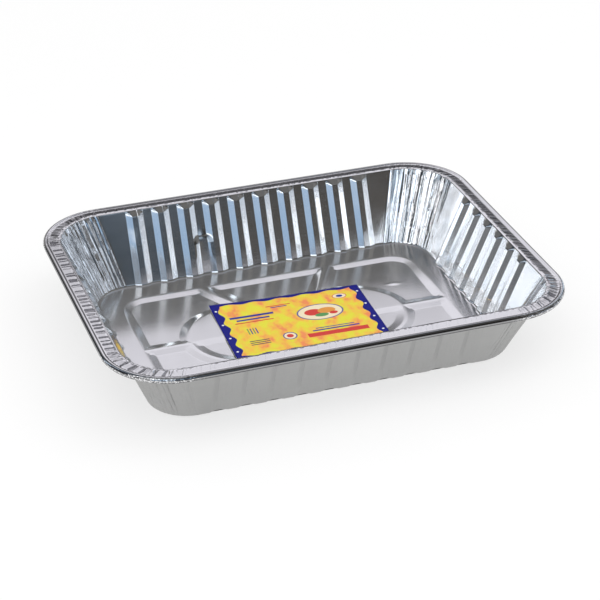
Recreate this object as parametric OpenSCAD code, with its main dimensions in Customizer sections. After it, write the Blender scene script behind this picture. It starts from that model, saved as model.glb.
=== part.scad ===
// Household foil tray: one pressed aluminium sheet with fluted walls, gathered corners,
// a rolled rim and an embossed base. A loose printed card lies in it.
// Millimetres. The origin is on the table under the tray's middle, and X runs along the tray.

/* [Tray] */
// Length over the rolled rim
tray_l = 320; // [290:5:360]
// Width over the rolled rim
tray_w = 250; // [230:5:300]
// Height from the table to the top of the rim
tray_h = 52.5; // [44:0.5:66]
// Thickness of the foil
foil_t = 0.3; // [0.2:0.05:0.5]
// Lean of the walls from upright, in degrees
wall_lean = 22.7; // [16:0.1:26]
// Corner radius of the walls under the flange
top_corner_r = 35; // [30:1:42]
// Corner radius of the walls at the base
foot_corner_r = 27; // [20:1:32]
// Radius of the bend from the base into the walls
foot_bend_r = 4; // [3:0.5:8]

/* [Rim] */
// Width of the flat flange between the walls and the rolled edge
flange_w = 7.8; // [5:0.2:12]
// Radius of the bend from the walls into the flange
top_bend_r = 1; // [1:0.25:3]
// How far the flange falls from the walls to the rolled edge
flange_drop = 0.8; // [0:0.1:0.8]
// Diameter of the rolled edge
bead_d = 4.4; // [3:0.2:6]
// Height of the rolled edge above the flange
bead_rise = 0.8; // [0.2:0.1:1.2]
// Angle through which the edge is rolled, in degrees
bead_turn = 300; // [200:10:320]

/* [Flutes] */
// Distance from one flute to the next
flute_pitch = 19.2; // [17:0.2:24]
// How far a flute stands in from the wall
flute_depth = 2; // [1:0.1:3]
// Width of a flute's flat crest
crest_w = 4.3; // [2.5:0.1:5]
// Width of the slope on each side of a crest
slope_w = 4.3; // [3:0.1:5]
// Plain wall between the flange and the tops of the flutes
flute_top_gap = 0.5; // [0.5:0.5:8]
// Height over which a flute rises from the wall at its top
flute_top_fade = 2; // [2:0.5:10]
// Share of its depth that a flute has where the wall meets the bend at the base
flute_foot_share = 0.8; // [0.4:0.05:0.9]

/* [Gathered corners] */
// Folds in each corner
folds = 14; // [10:2:24]
// Depth of the deepest folds
fold_depth = 1.6; // [0.5:0.1:2]
// Shares of the depth at which the shallowest folds start
fold_min = 0.4; // [0.2:0.05:0.9]
// Pattern of the folds: each number gives another set
fold_seed = 7; // [1:1:99]

/* [Embossed base] */
// Depth of the pressed panels
emboss_depth = 1; // [0.8:0.1:3]
// Width of the sloping edges of the panels
bevel_w = 7; // [4:0.5:8]
// Flat border between the walls and the panels at the tray's ends
border_end_w = 12.5; // [9:0.5:16]
// Flat border between the walls and the panels along the tray's sides
border_side_w = 15.5; // [9:0.5:18]
// Corner radius of the panels' outer edge
panel_r = 19; // [12:1:28]
// Length of the raised middle, over its round ends
island_l = 158; // [130:2:170]
// Width of the raised middle
island_w = 75; // [66:1:84]
// Flat top of the two ribs on the long axis
axis_rib_w = 2.5; // [2:0.5:6]
// Flat top of the four slanting ribs
slant_rib_w = 4; // [3:0.5:8]
// Distance of the slanting ribs from the middle, at the panels' outer edge
slant_rib_x = 47.5; // [44:0.5:52]
// Lean of the slanting ribs from the short axis, in degrees
slant_rib_lean = 28.5; // [22:0.5:30]
// Depth of the dish in the front half of the raised middle
dish_depth = 0.8; // [0.5:0.1:0.8]
// Width of the dish's sloping edge
dish_bevel_w = 5.5; // [3:0.5:7]
// Width of the raised line between the dish and the edge of the raised middle
dish_rim_w = 2; // [1:0.5:5]

/* [Card] */
// Length of the printed card
card_l = 111; // [90:1:130]
// Width of the printed card
card_w = 76.5; // [56:0.5:84]
// Thickness of the printed card
card_t = 0.4; // [0.3:0.05:0.6]
// Distance of the card's middle to the right of the tray's middle
card_x = 1.5; // [-6:0.5:6]
// Distance of the card's middle behind the tray's middle
card_y = 2.5; // [-6:0.5:6]
// How far the card lies turned, in degrees
card_turn = -2; // [-6:0.5:6]

/* [Hidden] */

// Heights of the base's border, of the flange at the roll, and of its edge at the walls
floor_z = emboss_depth + foil_t;
flange_z = tray_h - bead_rise;
lip_z = min(flange_z + flange_drop, tray_h);

// Half sizes of the rim's outline, and the reaches inward from it.
// A reach x is measured outward from the rim, so everything inside it is negative.
half_l = tray_l / 2;
half_w = tray_w / 2;
bead_r = bead_d / 2;
wall_turn = 90 - wall_lean;
top_x = -(flange_w + bead_d);
foot_x = top_x - (lip_z - floor_z) * tan(wall_lean);
foot_tangent = foot_bend_r * tan(wall_turn / 2);
top_tangent = top_bend_r * tan(wall_turn / 2);
floor_x = foot_x - foot_tangent;

// Centre of the rolled edge, and the angle at which the flange runs into it, outside and inside
bead_x = -bead_r;
bead_z = tray_h - bead_r;
bead_start = 180 - asin((flange_z - bead_z) / bead_r);
bead_inner_start = 180 - asin((flange_z - foil_t - bead_z) / (bead_r - foil_t));
bead_end = bead_start - bead_turn;

// Angles along the roll: over its top at 90 degrees, past its widest point at 0 and on under it
function bead_angles(start) = [
    for (k = [0 : 1]) start + (90 - start) * k / 2,
    for (k = [0 : 2]) 90 - 30 * k,
    for (k = [0 : 4]) bead_end * k / 4
];

// Half sizes of the panels' outer edge, at the top of its slope
panel_half_l = half_l + floor_x - border_end_w;
panel_half_w = half_w + floor_x - border_side_w;

// A cut or a join reaches this far past the face that it meets
overlap = 0.1;

// Stations round the tray. Each is
// [centre signs, shift along the side, outward normal, flute, fold, fold size, on the plain rings].
folds_step = 2;
fold_stations = 2 * folds;
corner_signs = [[1, 1], [-1, 1], [-1, -1], [1, -1]];
fold_shift = [for (c = [0 : 3]) rands(-0.3, 0.3, fold_stations + 1, fold_seed + c)];
fold_size = [for (c = [0 : 3]) rands(fold_min, 1, fold_stations + 1, fold_seed + 10 + c)];

// Number of flutes that the straight foot of side k holds
function side_straight(k) = 2 * ((k % 2 == 0 ? half_w : half_l) + foot_x - foot_corner_r);
function side_flutes(k) = floor((side_straight(k) - crest_w) / flute_pitch);

function side_station(k, s, flute, plain) =
    let (n = [round(cos(90 * k)), round(sin(90 * k))], along = [-n.y, n.x])
    [n, along * s, n, flute, 0, 0, plain];

function side_stations(k) =
    let (count = side_flutes(k))
    [for (i = [0 : count - 1])
        let (
            mid = (i - (count - 1) / 2) * flute_pitch,
            plain = i == 0 || i == floor(count / 2),
            last = i == count - 1
        )
        each [
            side_station(k, mid - crest_w / 2 - slope_w, 0, plain),
            side_station(k, mid - crest_w / 2, 1, false),
            side_station(k, mid + crest_w / 2, 1, false),
            side_station(k, mid + crest_w / 2 + slope_w, 0, last)
        ]];

function corner_stations(c) =
    [for (i = [0 : fold_stations])
        let (
            inside = i > 0 && i < fold_stations,
            angle = 90 * (c + (i + (inside ? fold_shift[c][i] : 0)) / fold_stations),
            fold = !inside ? 0 : i % 2 == 1 ? -1 : 0.25
        )
        [corner_signs[c], [0, 0], [cos(angle), sin(angle)], 0, fold, fold_size[c][i],
            i % folds_step == 0 || i == fold_stations]];

stations = [for (k = [0 : 3]) each concat(side_stations(k), corner_stations(k))];
plain_stations = [for (s = stations) if (s[6]) s];
plain_index = [for (i = [0 : len(stations) - 1]) if (stations[i][6]) i];

// Corner radius of the outline at reach x: the walls' corners open from the foot to the flange,
// and elsewhere the outlines are parallel.
function corner_r(x) =
    x >= top_x ? top_corner_r + x - top_x :
    x <= foot_x ? foot_corner_r + x - foot_x :
    foot_corner_r + (top_corner_r - foot_corner_r) * (x - foot_x) / (top_x - foot_x);

// Place of a station on a ring. A ring is [reach, height, outward part of the sheet's normal,
// downward part, flute share, fold share, all stations, seed], and back says how thick the sheet
// is there: 0 on the upper skin.
function place(s, ring, back, jitter) =
    let (
        grow = back * ring[2],
        x = ring[0] + grow,
        r = corner_r(ring[0]) + grow,
        out = r - flute_depth * s[3] * ring[4] + fold_depth * s[4] * s[5] * ring[5] * jitter,
        centre = [s[0].x * (half_l + x - r), s[0].y * (half_w + x - r)],
        p = centre + s[1] + s[2] * out
    )
    [p.x, p.y, ring[1] - back * ring[3]];

function ring_points(ring, back) =
    let (jitter = rands(0.75, 1.25, len(stations), fold_seed + 30 + ring[7]))
    ring[6]
        ? [for (i = [0 : len(stations) - 1]) place(stations[i], ring, back, jitter[i])]
        : [for (s = plain_stations) place(s, ring, back, 1)];

// Rings of the bend at the foot, the wall, the bend at the top and the flange
function foot_ring(turn, flute, fold, full) =
    [floor_x + foot_bend_r * sin(turn), floor_z + foot_bend_r * (1 - cos(turn)),
        sin(turn), cos(turn), flute, fold, full, 1];
function top_ring(turn, full, fold) =
    [top_x + top_tangent - top_bend_r * sin(turn), lip_z - top_bend_r * (1 - cos(turn)),
        sin(turn), cos(turn), 0, fold, full, 0];
function wall_ring(z, flute, fold, seed) =
    [foot_x + (z - floor_z) * tan(wall_lean), z, sin(wall_turn), cos(wall_turn),
        flute, fold, true, seed];

foot_end_z = floor_z + foot_bend_r * (1 - cos(wall_turn));
flute_end_z = lip_z - flute_top_gap - top_bend_r * (1 - cos(wall_turn));
flute_head_z = flute_end_z - flute_top_fade;
wall_mid_z = (foot_end_z + flute_head_z) / 2;

rings = [
    foot_ring(0, 0, 0, false),
    foot_ring(wall_turn / 2, 0, 0, true),
    foot_ring(wall_turn, flute_foot_share, 0.35, true),
    wall_ring(wall_mid_z, 1, 0.7, 2),
    wall_ring(flute_head_z, 1, 1, 3),
    wall_ring(flute_end_z, 0, 1, 4),
    top_ring(wall_turn, true, 0.8),
    top_ring(wall_turn / 2, false, 0),
    top_ring(0, false, 0)
];

// Ring of the rolled edge at one of its angles: the outside of the roll, or its inside
function bead_ring(a, r) = [bead_x + r * cos(a), bead_z + r * sin(a), 0, 0, 0, 0, false, 0];
inner_angles = bead_angles(bead_inner_start);

upper_skin = [
    for (ring = rings) ring_points(ring, 0),
    for (a = bead_angles(bead_start)) ring_points(bead_ring(a, bead_r), 0)
];
lower_skin = [
    for (k = [len(inner_angles) - 1 : -1 : 0])
        ring_points(bead_ring(inner_angles[k], bead_r - foil_t), 0),
    for (i = [len(rings) - 1 : -1 : 0]) ring_points(rings[i], foil_t)
];
skin = concat(upper_skin, lower_skin);

// Faces between two rings of the same stations. Each pair of faces meets on the line that goes
// up from the lower ring's plainer station, on both skins, so the skins stay parallel.
function even_band(a, b, count, upward) =
    [for (i = [0 : count - 1])
        let (
            j = (i + 1) % count,
            falling = count == len(stations) && stations[i][3] > stations[j][3]
        )
        each falling != upward
            ? [[a + i, a + j, b + j], [a + i, b + j, b + i]]
            : [[a + i, a + j, b + i], [a + j, b + j, b + i]]];

// Faces between a ring of all the stations and a plain one: there each plain station takes the
// fan of edges on both of its sides.

function fan_band(full, plain, flip) =
    let (total = len(stations), count = len(plain_index))
    [for (k = [0 : count - 1])
        let (
            first = plain_index[k],
            next = (k + 1) % count,
            last = plain_index[next] + (next == 0 ? total : 0),
            middle = floor((first + last) / 2),
            faces = [
                [full + middle % total, plain + next, plain + k],
                for (i = [first : 1 : last - 1])
                    [full + i % total, full + (i + 1) % total, plain + (i < middle ? k : next)]
            ]
        )
        for (f = faces) flip ? [f[0], f[2], f[1]] : f];

function band(a, b, len_a, len_b, upward) =
    len_a == len_b ? even_band(a, b, len_a, upward) :
    len_a > len_b ? fan_band(a, b, false) :
    fan_band(b, a, true);

function starts(rows, i = 0, total = 0, out = []) =
    i == len(rows) ? out : starts(rows, i + 1, total + len(rows[i]), concat(out, [total]));

module lofted_sheet(rows) {
    at = starts(rows);
    last = len(rows) - 1;
    points = [for (row = rows) each row];
    sides = [for (i = [0 : last - 1])
        each band(at[i], at[i + 1], len(rows[i]), len(rows[i + 1]), i < len(upper_skin) - 1)];
    floor_top = [for (i = [len(rows[0]) - 1 : -1 : 0]) at[0] + i];
    floor_under = [for (i = [0 : len(rows[last]) - 1]) at[last] + i];
    polyhedron(points, concat(sides, [floor_top, floor_under]), convexity = 10);
}

// Outlines of the embossed forms
function rounded(half_x, half_y, r) =
    let (steps = 8)
    [for (c = [0 : 3], i = [0 : steps])
        let (a = 90 * (c + i / steps))
        [corner_signs[c].x * (half_x - r) + r * cos(a), corner_signs[c].y * (half_y - r) + r * sin(a)]];

// Front half of an outline with round ends, cut straight at y = back_y
function front_half(half_x, half_y, back_y) =
    let (steps = 10, cut = asin(-back_y / half_y), along = half_x - half_y)
    concat(
        [for (i = [0 : steps])
            let (a = 180 + cut + (90 - cut) * i / steps)
            [half_y * cos(a) - along, half_y * sin(a)]],
        [for (i = [0 : steps])
            let (a = 270 + (90 - cut) * i / steps)
            [half_y * cos(a) + along, half_y * sin(a)]]
    );

function bar(length, half_y) = [[0, -half_y], [length, -half_y], [length, half_y], [0, half_y]];

// How far a raised form's outline spreads at height z, where z = 0 is the base's border
function spread(z) = -bevel_w * z / emboss_depth;

// The raised forms run on a little past the panels' floor and past the border
under_z = -emboss_depth - overlap;
over_z = 2 * overlap;

// A block with straight sloping sides between two outlines of as many points
module sloped_block(low, low_z, high, high_z) {
    count = len(low);
    points = [for (p = low) [p.x, p.y, low_z], for (p = high) [p.x, p.y, high_z]];
    hull()
        polyhedron(points, [[for (i = [0 : count - 1]) i], [for (i = [2 * count - 1 : -1 : count]) i]]);
}

// The field that all the panels lie in
module pressed_field() {
    function edge(z) = rounded(panel_half_l - spread(z), panel_half_w - spread(z), panel_r - spread(z));
    sloped_block(edge(-emboss_depth), -emboss_depth, edge(overlap), overlap);
}

// The raised middle of the field, with round ends
module island() {
    function edge(z) =
        let (r = island_w / 2 + spread(z))
        rounded(island_l / 2 + spread(z), r, r);
    sloped_block(edge(under_z), under_z, edge(over_z), over_z);
}

// A raised rib along X, from the middle outward
module rib(length, top_w) {
    function edge(z) = bar(length, top_w / 2 + spread(z));
    sloped_block(edge(under_z), under_z, edge(over_z), over_z);
}

// Dish in the front half of the raised middle, with a straight back edge
module dish() {
    function edge(z) =
        let (inset = -dish_bevel_w * z / dish_depth)
        front_half(island_l / 2 - dish_rim_w - inset, island_w / 2 - dish_rim_w - inset, -inset);
    sloped_block(edge(-dish_depth), -dish_depth, edge(overlap), overlap);
}

// The six pressed panels and the dish, as solid blocks below z = 0
module panels() {
    slant_foot_x = slant_rib_x - panel_half_w * tan(slant_rib_lean);
    slant_length = (panel_half_w + 2 * bevel_w) / cos(slant_rib_lean);
    difference() {
        pressed_field();
        island();
        for (side = [0, 180])
            rotate([0, 0, side])
                rib(panel_half_l + bevel_w, axis_rib_w);
        for (front = [0, 1], left = [0, 1])
            mirror([0, front, 0])
                mirror([left, 0, 0])
                    translate([slant_foot_x, 0, 0])
                        rotate([0, 0, 90 - slant_rib_lean])
                            rib(slant_length, slant_rib_w);
    }
    dish();
}

module tray() {
    color([0.78, 0.79, 0.81])
        difference() {
            union() {
                lofted_sheet(skin);
                translate([0, 0, floor_z - foil_t])
                    panels();
            }
            translate([0, 0, floor_z])
                panels();
        }
}

module label_card() {
    color([0.09, 0.16, 0.5])
        translate([card_x, card_y, floor_z])
            rotate([0, 0, card_turn])
                translate([-card_l / 2, -card_w / 2, 0])
                    cube([card_l, card_w, card_t]);
}

tray();
label_card();
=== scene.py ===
# %% [markdown]
# # A household foil tray, in cells
#
# The object is one sheet of thin aluminium, pressed in a single stroke: fluted walls, corners that gather in
# folds, a flange, a rolled edge and a base with embossed panels. A printed card lies loose in it. The packed
# CAD model is loaded first, as a fixed frame. Everything below is in its coordinates: X runs along the tray,
# Y to its back, Z up, and the origin is on the table under the middle.

# %% The frame
import functools
import math

import bpy
import numpy as np
from mathutils import Matrix, Vector
from mathutils.geometry import delaunay_2d_cdt


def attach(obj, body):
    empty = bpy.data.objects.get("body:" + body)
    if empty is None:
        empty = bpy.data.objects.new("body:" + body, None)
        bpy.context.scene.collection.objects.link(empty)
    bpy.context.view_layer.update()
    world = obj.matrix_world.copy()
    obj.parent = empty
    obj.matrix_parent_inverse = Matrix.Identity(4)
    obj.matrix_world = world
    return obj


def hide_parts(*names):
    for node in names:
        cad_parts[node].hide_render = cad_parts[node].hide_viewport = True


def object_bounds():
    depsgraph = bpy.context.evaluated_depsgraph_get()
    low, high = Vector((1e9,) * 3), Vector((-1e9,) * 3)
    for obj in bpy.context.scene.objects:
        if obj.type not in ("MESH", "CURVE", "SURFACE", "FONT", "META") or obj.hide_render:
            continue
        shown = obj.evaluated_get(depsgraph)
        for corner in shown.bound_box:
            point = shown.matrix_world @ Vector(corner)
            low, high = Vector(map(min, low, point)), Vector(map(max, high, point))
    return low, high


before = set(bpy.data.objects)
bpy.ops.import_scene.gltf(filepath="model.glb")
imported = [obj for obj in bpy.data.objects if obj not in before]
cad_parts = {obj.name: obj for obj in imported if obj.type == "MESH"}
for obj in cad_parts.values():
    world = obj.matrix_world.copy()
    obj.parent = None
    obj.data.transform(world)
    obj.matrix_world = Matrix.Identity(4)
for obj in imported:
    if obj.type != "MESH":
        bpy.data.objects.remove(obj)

cad_box = [list(corner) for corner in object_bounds()]
MM = 0.001
scene = bpy.context.scene
scene.view_settings.view_transform = "Standard"
print("CAD box in mm:", [[round(v / MM, 1) for v in corner] for corner in cad_box])

# %% [markdown]
# ## The sizes of the tray
#
# The sheet is drawn again here with far more points than the CAD solid has, so it needs the solid's own
# values. They are in millimetres, and have the names that a drawing of the press tool would give them. What
# the CAD box can tell, such as the outer length, is read from the frame.

# %% Sizes
half_l, half_w = cad_box[1][0] / MM, cad_box[1][1] / MM
tray_h = cad_box[1][2] / MM
foil_t = 0.3
wall_lean = math.radians(22.7)
top_corner_r, foot_corner_r, foot_bend_r, top_bend_r = 35.0, 27.0, 2.6, 1.0
flange_w, flange_drop, bead_d, bead_rise = 7.8, 0.8, 4.4, 0.8
bead_turn = math.radians(300)
flute_pitch, flute_depth, crest_w, slope_w = 19.2, 2.0, 4.3, 4.3
flute_top_gap, flute_top_fade, flute_foot_share = 0.3, 2.8, 0.8
flutes_long, flutes_short = 10, 6
fold_depth, folds_in_corner = 1.6, 14
emboss_depth, bevel_w, panel_r = 1.4, 6.0, 19.0
panel_l, panel_w = 111.2, 73.2
island_l, island_w = 158.0, 75.0
axis_rib_w, slant_rib_w, slant_rib_x, slant_rib_lean = 2.5, 4.0, 47.5, math.radians(28.5)
dish_depth, dish_bevel_w, dish_rim_w = 0.8, 5.5, 2.0

floor_z = emboss_depth + foil_t
flange_z = tray_h - bead_rise
lip_z = flange_z + flange_drop
wall_turn = math.pi / 2 - wall_lean
top_x = -(flange_w + bead_d)
foot_x = top_x - (lip_z - floor_z) * math.tan(wall_lean)
floor_x = foot_x - foot_bend_r * math.tan(wall_turn / 2)
top_tangent = top_bend_r * math.tan(wall_turn / 2)
bead_r = bead_d / 2
bead_x, bead_z = -bead_r, tray_h - bead_r
straight_l = half_l + foot_x - foot_corner_r
straight_w = half_w + foot_x - foot_corner_r
print(f"the base is {2 * (half_l + floor_x):.0f} by {2 * (half_w + floor_x):.0f} mm at height {floor_z} mm")

# %% [markdown]
# ## Small shapes of curves
#
# A few helpers serve every bend and crease. A ramp with a rounded start makes pressed edges that are crisp
# but not knife-sharp, as bent foil is. The seeded random numbers always come in the same order, so the tray is
# the same at each run.

# %% Helpers for curves
rng = np.random.default_rng(7)


def ramp(u, r):
    """0 below -r, u above r, and between them the parabola (u + r)^2 / 4r that joins the two smoothly."""
    return np.where(u < -r, 0, np.where(u > r, u, (u + r) ** 2 / (4 * r)))


def step(u, width, r, r_end=None):
    """Rises from 0 at u = 0 to 1 at u = width in a straight line, with its ends rounded over r and r_end."""
    return (ramp(u, r) - ramp(u - width, r if r_end is None else r_end)) / width


def smooth(u, low, high):
    """0 below low, 1 above high, and t^2 (3 - 2t) between, t being the share of the way."""
    t = np.clip((u - low) / (high - low), 0, 1)
    return t * t * (3 - 2 * t)


def bump_at(u, v, place, size, height):
    """A round hill of the given height at a place: height * exp(-distance^2), distance in sizes."""
    return height * np.exp(-((u - place[0]) / size[0]) ** 2 - ((v - place[1]) / size[1]) ** 2)


print("helpers: ramp, step, smooth, bump_at")

# %% [markdown]
# ## Columns round the tray
#
# The sheet is a grid. Its columns run round the tray, and its rows run from the base over the wall and the
# flange into the rolled edge. A column on a side keeps its distance from the side's middle, so flutes stand
# parallel. A column in a corner keeps its angle, so folds fan out as they rise. Columns are close together
# where a flute bends, and far apart where the wall is flat.

# %% Columns
CORNER_COLUMNS = 126
QUARTERS = ((1, 1), (-1, 1), (-1, -1), (1, -1))
bend_r = 0.18
flute_reach = crest_w / 2 + slope_w
flute_marks = np.array([-flute_reach - bend_r, -flute_reach + bend_r, -flute_reach + 1.5, -crest_w / 2 - 1.4,
                        -crest_w / 2 - bend_r, -crest_w / 2 + bend_r, 0])
flute_marks = np.concatenate([flute_marks, -flute_marks[-2::-1]])
gap = flute_pitch - 2 * flute_reach - 2 * bend_r
gap_marks = flute_reach + bend_r + gap * np.array([0.25, 0.5, 0.75])


def side_positions(count, straight):
    """Distances along a side: thirteen for each flute, three between flutes, and seven beyond the last."""
    mids = (np.arange(count) - (count - 1) / 2) * flute_pitch
    inner = np.concatenate([m + np.concatenate([flute_marks, gap_marks]) for m in mids])[:-len(gap_marks)]
    end = inner[-1]
    outer = end + (straight - end) * np.arange(1, 8) / 8
    fixed = np.concatenate([-outer[::-1], inner, outer])
    return fixed, np.sign(fixed) * np.clip((np.abs(fixed) - end) / (straight - end), 0, 1), mids


columns = {key: [] for key in ("sign", "normal", "along", "shift", "stretch", "mid", "side", "turn")}
corner = np.arange(CORNER_COLUMNS) / (CORNER_COLUMNS - 1)
for k in range(4):
    normal = np.array([round(math.cos(k * math.pi / 2)), round(math.sin(k * math.pi / 2))], float)
    fixed, stretch, mids = side_positions(*((flutes_short, straight_w), (flutes_long, straight_l))[k % 2])
    angle = (k + corner) * math.pi / 2
    for key, on_side, in_corner in (
            ("sign", [normal] * len(fixed), [QUARTERS[k]] * CORNER_COLUMNS),
            ("normal", [normal] * len(fixed), np.stack([np.cos(angle), np.sin(angle)], 1)),
            ("along", [(-normal[1], normal[0])] * len(fixed), [(0, 0)] * CORNER_COLUMNS),
            ("shift", fixed, 0 * corner), ("stretch", stretch, 0 * corner),
            ("mid", mids[np.abs(fixed[:, None] - mids).argmin(1)], 0 * corner),
            ("side", [k] * len(fixed), [k + 4] * CORNER_COLUMNS), ("turn", [0] * len(fixed), corner)):
        columns[key] += [*on_side, *in_corner]
sign, normal, along, shift, stretch, mid, side, turn = (np.array(value, float) for value in columns.values())
N = len(side)
is_side = side < 4
print("columns:", N)

# %% [markdown]
# ## Rows from the base to the rolled edge
#
# The section of the wall is the same all round: a bend, a straight lean, a tight bend, the flange and a roll of
# 300 degrees. One function writes it, as stations with reach, height and the direction of the sheet's thickness.
# It serves twice: outward for the upper skin and back again, a foil's thickness away, for the lower.

# %% Rows
foot_end_z = floor_z + foot_bend_r * (1 - math.cos(wall_turn))
top_bend_z = lip_z - top_bend_r * (1 - math.cos(wall_turn))
flute_end_z = top_bend_z - flute_top_gap
flute_fade_z = flute_end_z - flute_top_fade
flute_head_z = flute_fade_z - 0.5
wall_heights = np.linspace(foot_end_z, flute_head_z, 10)[1:]
DENT_HEIGHTS = [11.6, 13.0, 14.4, 24.0, 26.5, 29.5]


def stations(*fields):
    """Rows of the section from six fields: reach, height, out, down, share of the flange, crown."""
    return np.stack(np.broadcast_arrays(*fields), 1)


def bend_rows(x, z, r, angles, crowned):
    """Circle of a bend that is level at x and z: it rises from there if r is positive, and falls if negative."""
    out = np.sin(angles)
    return stations(x + r * out, z + r * (1 - np.cos(angles)), out, np.cos(angles), 0,
                    crowned * (out / math.sin(wall_turn) - 1))


def wall_rows(heights):
    """Straight line of the wall: the reach grows with the height times the tangent of the lean."""
    z = np.sort(np.asarray(heights, float))
    return stations(foot_x + (z - floor_z) * math.tan(wall_lean), z, math.sin(wall_turn), math.cos(wall_turn), 0, 0)


bead_start = math.pi - math.asin((flange_z - bead_z) / bead_r)
bead_inner_start = math.pi - math.asin((flange_z - foil_t - bead_z) / (bead_r - foil_t))
roll_angles = np.radians([118, 98, 80, 64, 50, 38, 27, 16, 6, 0, -9, -18, -24, -42, -62, -90, -125])
roll_angles = np.append(roll_angles, bead_start - bead_turn)


def flange_rows(shares):
    """Straight fall from the bend to the roll; the crown is a parabola over the inner fifth."""
    t = np.asarray(shares, float)
    x = (top_x + top_tangent) * (1 - t) + (bead_x + bead_r * math.cos(bead_start)) * t
    return stations(x, lip_z - flange_drop * np.maximum(t - 0.2, 0) / 0.8, 0, 1, t,
                    -np.minimum((t - 0.2) / 0.2, 0) ** 2)


def bead_rows(angles, r):
    """Circle of the rolled edge at radius r, from the flange over its top and round under it."""
    return stations(bead_x + r * np.cos(angles), bead_z + r * np.sin(angles), 0, 0, 1, 0)


def skin_rows(foot, heights, fade, top, shares, angles, r):
    """One skin from foot to roll; foot, fade and top count the rows of the bends and of the flutes' heads."""
    return np.concatenate([
        bend_rows(floor_x, floor_z, foot_bend_r, np.linspace(0, wall_turn, foot), 0), wall_rows(heights),
        wall_rows(np.linspace(flute_fade_z, flute_end_z, fade)),
        bend_rows(top_x + top_tangent, lip_z, -top_bend_r, np.linspace(wall_turn, 0, top), 1),
        flange_rows(shares), bead_rows(angles, r)])


upper = skin_rows(5, [*wall_heights, *DENT_HEIGHTS], 6, 4, [0.05, 0.12, 0.2, 0.28, 0.46, 0.64, 0.82, 1.0],
                  roll_angles, bead_r)
lower = skin_rows(4, wall_heights, 3, 3, [0.2, 0.6, 1.0],
                  np.linspace(bead_inner_start, bead_start - bead_turn, 5)[1:], bead_r - foil_t)
rows = np.concatenate([upper, lower[::-1]])
R = len(rows)
reach, level, out_part, down_part, rim_share, crown = rows.T[:, :, None]
is_upper = (np.arange(R) < len(upper))[:, None]
back = np.where(is_upper | (out_part + down_part == 0), 0, foil_t)
print("rows:", R, "so the wall grid has", N * R * 2, "triangles")

# %% [markdown]
# ## Folds of the corners
#
# In a corner the flat sheet has too much length, and it gathers. Each fold is a sharp crease, so between two
# creases the wall is flat and mirrors one thing. The creases wander a little as they rise, some run out, and
# smaller ones lie between them. A zigzag through random knots, blended between a few heights, gives this.

# %% Folds
FOLD_LEVELS = np.concatenate([[0], (wall_heights - foot_end_z) / (top_bend_z - foot_end_z), [1.0, 1.3]])
FINE_FOLDS, RIM_FOLDS, UNEVEN = 62, 54, 0.4


def zigzag(turn, knots, wander, least, even):
    """Straight lines through knots that lie alternately at -size and at even * size, one row for each level."""
    jitter = rng.uniform(-UNEVEN, UNEVEN, knots + 1)
    size = rng.uniform(least, 1, knots + 1)
    rows = []
    drift = np.zeros(knots + 1)
    for _ in FOLD_LEVELS:
        at = (np.arange(knots + 1) + jitter + drift) / knots
        here = size * rng.uniform(0.35, 1.35, knots + 1) * np.where(np.arange(knots + 1) % 2 == 1, -1, even)
        at[0], at[-1], here[0], here[-1] = 0, 1, 0, 0
        rows.append(np.interp(turn, np.maximum.accumulate(at), here))
        drift = drift + rng.uniform(-wander, wander, knots + 1)
    return np.array(rows)


fold_rows, fine_rows, rim_rows = np.zeros((3, len(FOLD_LEVELS), N))
for k in range(4):
    here = side == k + 4
    fold_rows[:, here] = zigzag(turn[here], 2 * folds_in_corner, 0.3 if k == 0 else 0.14, 0.3, 0.3)
    fine_rows[:, here] = zigzag(turn[here], FINE_FOLDS, 0.5, 0.0, 0.9)
    rim_rows[:, here] = zigzag(turn[here], RIM_FOLDS, 0.0, 0.1, 0.0)


def between_levels(rows, share):
    """The rows' values at a height share, in straight lines from level to level."""
    spot = np.interp(share, FOLD_LEVELS, np.arange(len(FOLD_LEVELS)))
    low = np.minimum(spot.astype(int), len(FOLD_LEVELS) - 2)
    return rows[low] + (rows[low + 1] - rows[low]) * (spot - low)[:, None]


print("folds in each corner:", folds_in_corner, "large ones with fine ones between")

# %% [markdown]
# ## The wall, the flange and the rolled edge as one grid
#
# Every column meets every row by one formula, as whole arrays. Flutes and folds push the sheet in or out along
# the column's own direction, and both skins get the same push, so the foil keeps its thickness. The back wall
# has a swollen flute, and on its inside a pressed knee; the right one has a scored line inside. The flange falls
# a little towards the roll, and in the corners it is wrinkled where the folds run out.

# %% Pushes of the wall
SWELL_AT, SWELL_SIZE, SWELL = (88.6, 41), (3.0, 4.5), 1.5
KNEE_AT, KNEE_Z, KNEE = 38.6, 27.5, 1.3
SCAR_Z, SCAR = 13, 0.22
x, z = reach + back * out_part, level
height_share = (level - foot_end_z) / (top_bend_z - foot_end_z)


def corner_radius(reach):
    """Grows in a straight line from the foot to the top of the wall; elsewhere the outlines are parallel."""
    share = np.clip((reach - foot_x) / (top_x - foot_x), 0, 1)
    return foot_corner_r + (top_corner_r - foot_corner_r) * share + \
        np.maximum(reach - top_x, 0) + np.minimum(reach - foot_x, 0)


def flute_push(s, z):
    """How far a flute stands in: the least of its slope, its head's plane and the small facet beside the head."""
    away = np.abs(s)
    inward = np.clip((flute_reach - away) / slope_w, -1, 2)
    form = 1 - step(away - crest_w / 2, slope_w, bend_r)
    head = (flute_end_z - z) * flute_depth / flute_top_fade
    facet = 6 * inward - 0.88 * (z - flute_end_z + 3.3)
    return np.clip(np.minimum(np.minimum(flute_depth * form, head), np.maximum(facet, 0)), 0, None)


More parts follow.
